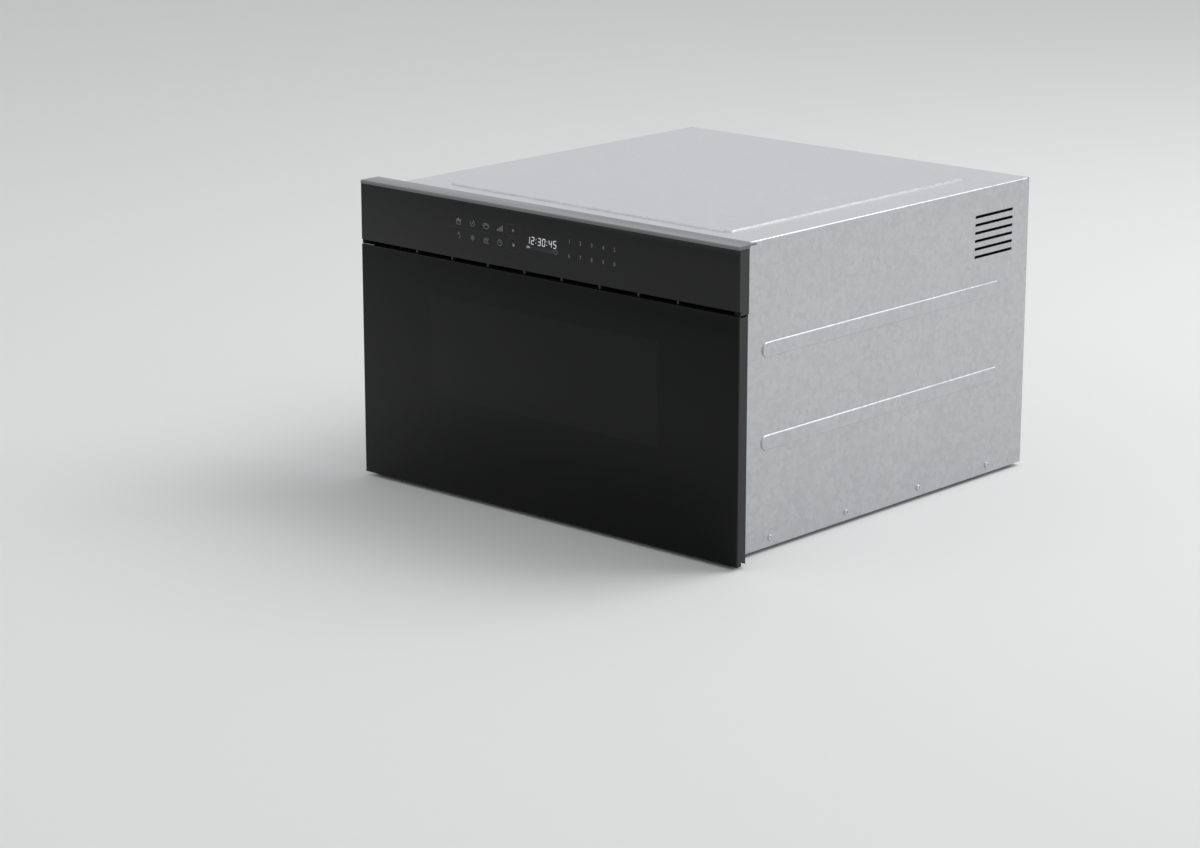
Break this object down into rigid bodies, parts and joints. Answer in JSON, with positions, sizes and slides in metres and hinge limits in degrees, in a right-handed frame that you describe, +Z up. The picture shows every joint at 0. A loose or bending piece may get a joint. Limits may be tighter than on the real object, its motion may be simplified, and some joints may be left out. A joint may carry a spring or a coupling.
{
  "type": "microwave drawer",
  "caption": "Built-in microwave drawer with a flush black glass front, a fixed touch panel above and a motor-driven drawer on telescopic rails.",
  "frame": {"origin": "centre of the bounding box's underside, on the plane of the base pan's skids", "axes": "+X to the right seen from the front, -Y out of the front, +Z up"},
  "size_m": [0.6064, 0.5936, 0.3762],
  "materials": {
    "black_glass": "polished black, opaque behind the glass",
    "clear_glass": "clear",
    "trim_metal": "fine brushed, chamfered edge",
    "black_steel": "satin black powder coat",
    "zinc_steel": "galvanised, faint spangle",
    "oven_enamel": "light grey enamel",
    "black_plastic": "fine grained",
    "tub_plastic": "moulded, satin",
    "ceramic_white": "smooth",
    "mica": "layered sheet",
    "display": "dark cell",
    "board_green": "lacquered circuit board",
    "lamination": "varnished laminations",
    "can_aluminium": "drawn can",
    "white_nylon": "moulded",
    "duct_plastic": "moulded",
    "rail_steel": "bright zinc",
    "screen_steel": "perforated, black",
    "gear_nylon": "moulded",
    "shaft_steel": "ground",
    "lamp_glass": "frosted"
  },
  "bodies": {
    "housing": {"top_trim": "trim_metal", "control_glass": "black_glass", "display_module": "display", "vent_grille": "black_plastic", "bottom_trim": "black_plastic", "front_frame": "black_steel", "base_pan": "zinc_steel", "outer_cover": "zinc_steel", "rear_panel": "zinc_steel", "case_screws": "rail_steel", "cord_gland": "black_plastic", "control_housing": "black_plastic", "touch_key_board": "board_green", "control_board": "board_green", "oven_cavity": "oven_enamel", "waveguide_cover": "mica", "waveguide": "zinc_steel", "stirrer_motor": "zinc_steel", "magnetron": "zinc_steel", "hv_transformer": "lamination", "hv_capacitor": "can_aluminium", "hv_diode": "black_plastic", "noise_filter": "board_green", "oven_lamp": "lamp_glass", "thermal_cutouts": "black_plastic", "fan_bulkhead": "zinc_steel", "fan_motor": "lamination", "air_duct": "duct_plastic", "slide_brackets": "zinc_steel", "outer_rails": "rail_steel", "drive_motor": "duct_plastic", "shaft_bearings": "white_nylon", "latch_holders": "white_nylon", "interlock_switches": "black_plastic"},
    "drawer": {"drawer_glass": "black_glass", "door_frame": "black_steel", "choke_frame": "zinc_steel", "choke_cover": "black_plastic", "window_screen": "screen_steel", "window_pane": "clear_glass", "drawer_tub": "tub_plastic", "ceramic_tray": "ceramic_white", "tub_glides": "white_nylon", "drawer_arms": "rail_steel", "latch_hooks": "white_nylon", "door_screws": "rail_steel", "drive_racks": "gear_nylon", "inner_rails": "rail_steel"},
    "rail_left": {"middle_rail_left": "rail_steel"},
    "rail_right": {"middle_rail_right": "rail_steel"},
    "cross_shaft": {"drive_shaft": "shaft_steel", "shaft_gears": "gear_nylon"},
    "motor_pinion": {"motor_gear": "gear_nylon"},
    "fan": {"cooling_fan": "duct_plastic"},
    "stirrer": {"mode_stirrer": "can_aluminium"}
  },
  "joints": [
    {"name": "drawer_slide", "type": "slide", "parent": "housing", "child": "drawer", "axis": [0, -1, 0], "range_m": [0, 0.385]},
    {"name": "rail_left_slide", "type": "slide", "parent": "housing", "child": "rail_left", "axis": [0, -1, 0], "range_m": [0, 0.1925]},
    {"name": "rail_right_slide", "type": "slide", "parent": "housing", "child": "rail_right", "axis": [0, -1, 0], "range_m": [0, 0.1925]},
    {"name": "cross_shaft_spin", "type": "hinge", "parent": "housing", "child": "cross_shaft", "pos_m": [0, -0.24685, 0.027], "axis": [1, 0, 0], "range_deg": [0, 1298.08]},
    {"name": "motor_gear_spin", "type": "hinge", "parent": "housing", "child": "motor_pinion", "pos_m": [0, -0.21985, 0.027], "axis": [1, 0, 0], "range_deg": [-1622.48, 0]},
    {"name": "fan_spin", "type": "hinge", "parent": "housing", "child": "fan", "pos_m": [-0.083, 0.2214, 0.227], "axis": [1, 0, 0], "continuous": true},
    {"name": "stirrer_spin", "type": "hinge", "parent": "housing", "child": "stirrer", "pos_m": [0, -0.06685, 0.288], "axis": [0, 0, 1], "continuous": true}
  ],
  "couplings": [
    {"joint": "rail_left_slide", "follows": "drawer_slide", "ratio": 0.5},
    {"joint": "rail_right_slide", "follows": "drawer_slide", "ratio": 0.5},
    {"joint": "cross_shaft_spin", "follows": "drawer_slide", "rad_per_m": 58.824},
    {"joint": "motor_gear_spin", "follows": "drawer_slide", "rad_per_m": -73.529}
  ]
}
